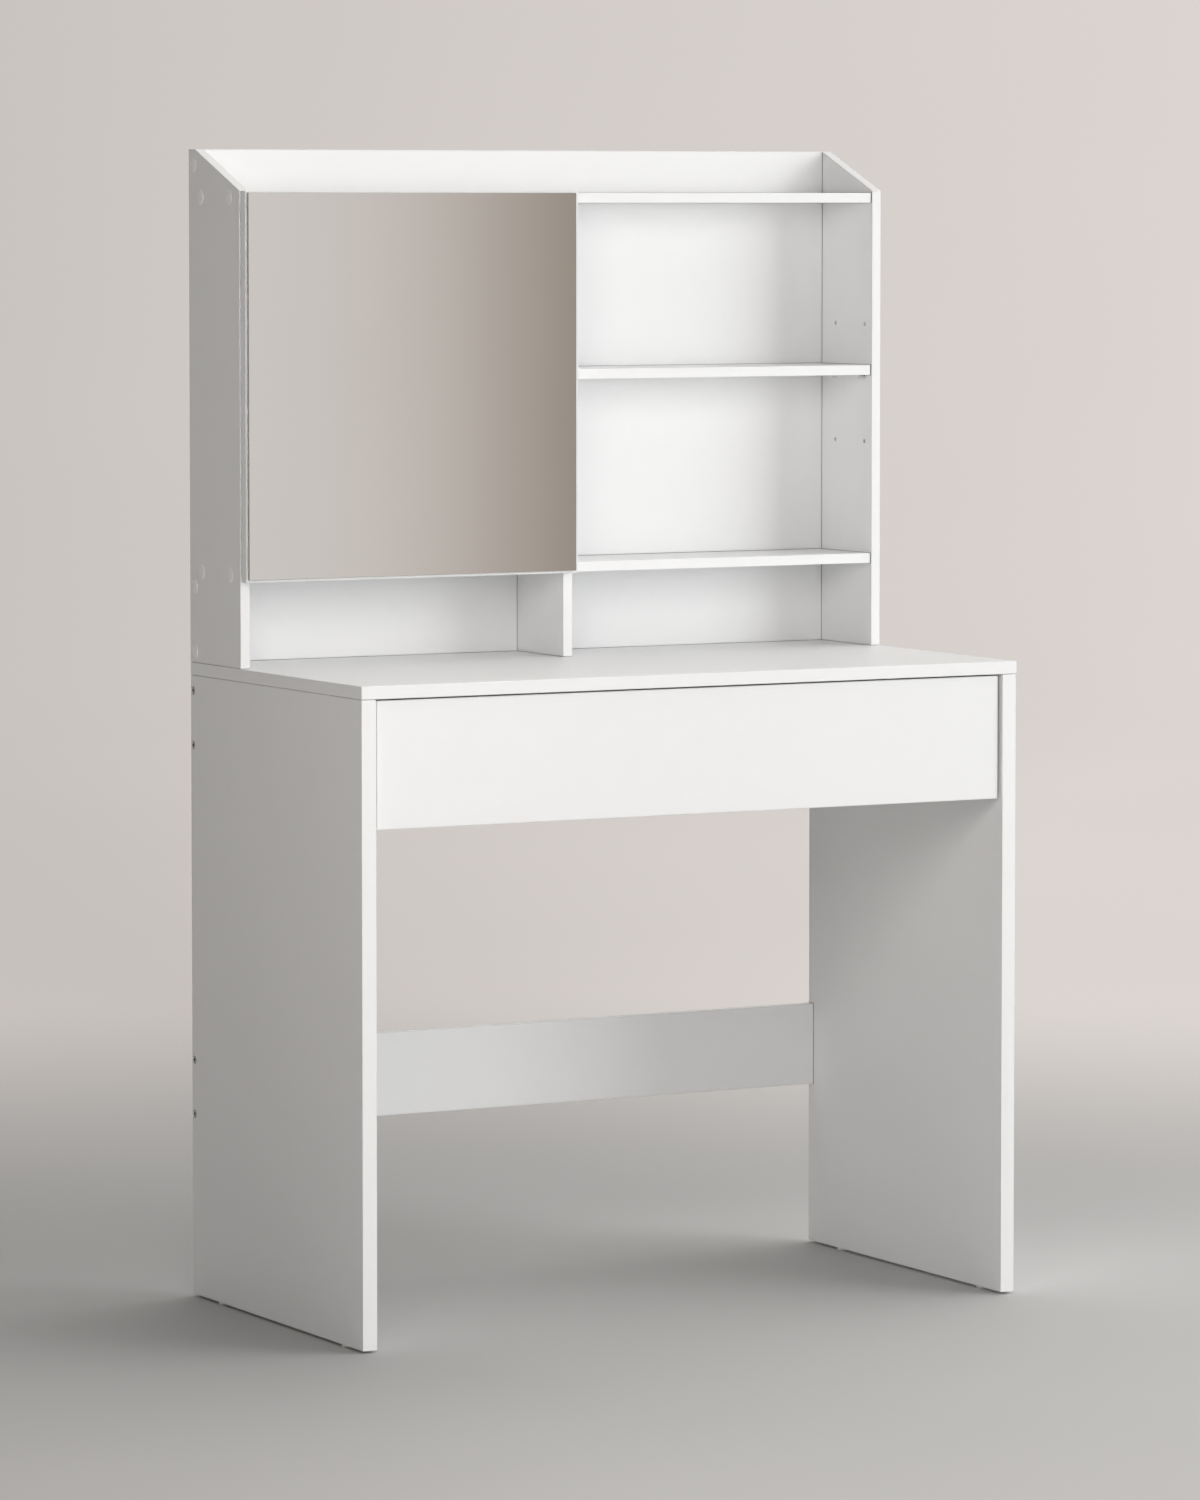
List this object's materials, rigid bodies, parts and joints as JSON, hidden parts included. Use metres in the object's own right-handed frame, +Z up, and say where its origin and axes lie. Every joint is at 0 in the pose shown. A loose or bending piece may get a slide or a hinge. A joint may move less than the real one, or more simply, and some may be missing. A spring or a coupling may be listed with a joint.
{
  "type": "dressing table with mirror",
  "caption": "White flat-board dressing table: desk with one wide drawer, low hutch with a hinged mirror door, open compartments, niches and a gallery along its top.",
  "frame": {"origin": "on the floor, in the middle of the footprint (tabletop width and depth)", "axes": "+Z up, -Y to the front (drawer and mirror side), +X to the right seen from the front"},
  "size_m": [0.86, 0.45, 1.35],
  "materials": {
    "white_board": "semi-matt white melamine on particle board",
    "drawer_board": "matt white foil on fibreboard",
    "thin_board": "matt white painted thin fibreboard",
    "mirror": "silvered float glass",
    "steel": "zinc plated, satin",
    "nickel": "nickel plated",
    "plastic": "moulded white plastic"
  },
  "bodies": {
    "carcass": {"adjustable_shelf_left": "white_board", "adjustable_shelf_right": "white_board", "desk_side_left": "white_board", "desk_side_right": "white_board", "desk_top": "white_board", "divider_lower": "white_board", "divider_upper": "white_board", "glide_front_left": "plastic", "glide_front_right": "plastic", "glide_rear_left": "plastic", "glide_rear_right": "plastic", "hinge_arm_lower": "steel", "hinge_arm_upper": "steel", "hutch_back_lower": "white_board", "hutch_back_middle": "white_board", "hutch_back_top": "white_board", "hutch_bottom_shelf": "white_board", "hutch_side_left": "white_board", "hutch_side_right": "white_board", "hutch_top_shelf": "white_board", "rail_screw_left_1": "nickel", "rail_screw_left_2": "nickel", "rail_screw_left_3": "nickel", "rail_screw_left_4": "nickel", "rail_screw_right_1": "nickel", "rail_screw_right_2": "nickel", "rail_screw_right_3": "nickel", "rail_screw_right_4": "nickel", "rear_rail_lower": "white_board", "rear_rail_upper": "white_board", "shelf_pin_left_inner_front": "nickel", "shelf_pin_left_inner_rear": "nickel", "shelf_pin_left_outer_front": "nickel", "shelf_pin_left_outer_rear": "nickel", "shelf_pin_right_inner_front": "nickel", "shelf_pin_right_inner_rear": "nickel", "shelf_pin_right_outer_front": "nickel", "shelf_pin_right_outer_rear": "nickel", "slide_cabinet_member_left": "steel", "slide_cabinet_member_right": "steel"},
    "drawer": {"drawer_back": "drawer_board", "drawer_bottom": "thin_board", "drawer_front": "white_board", "drawer_side_left": "drawer_board", "drawer_side_right": "drawer_board", "slide_drawer_member_left": "steel", "slide_drawer_member_right": "steel"},
    "slide_middles": {"slide_middle_member_left": "steel", "slide_middle_member_right": "steel"},
    "door": {"mirror_door": "white_board", "mirror": "mirror", "hinge_cup_lower": "steel", "hinge_cup_upper": "steel"},
    "hinge_links": {"hinge_link_lower": "steel", "hinge_link_upper": "steel"}
  },
  "joints": [
    {"name": "drawer_run", "type": "slide", "parent": "carcass", "child": "drawer", "axis": [0, -1, 0], "range_m": [0, 0.3]},
    {"name": "slide_middle_run", "type": "slide", "parent": "carcass", "child": "slide_middles", "axis": [0, -1, 0], "range_m": [0, 0.152]},
    {"name": "door_swing", "type": "hinge", "parent": "carcass", "child": "door", "pos_m": [-0.4295, 0.0855, 1.076], "axis": [0, 0, -1], "range_deg": [0, 95]},
    {"name": "hinge_link_turn", "type": "hinge", "parent": "carcass", "child": "hinge_links", "pos_m": [-0.4295, 0.0855, 1.076], "axis": [0, 0, -1], "range_deg": [0, 32]}
  ],
  "couplings": [
    {"joint": "slide_middle_run", "follows": "drawer_run", "ratio": 0.5},
    {"joint": "hinge_link_turn", "follows": "door_swing", "ratio": 0.33}
  ]
}
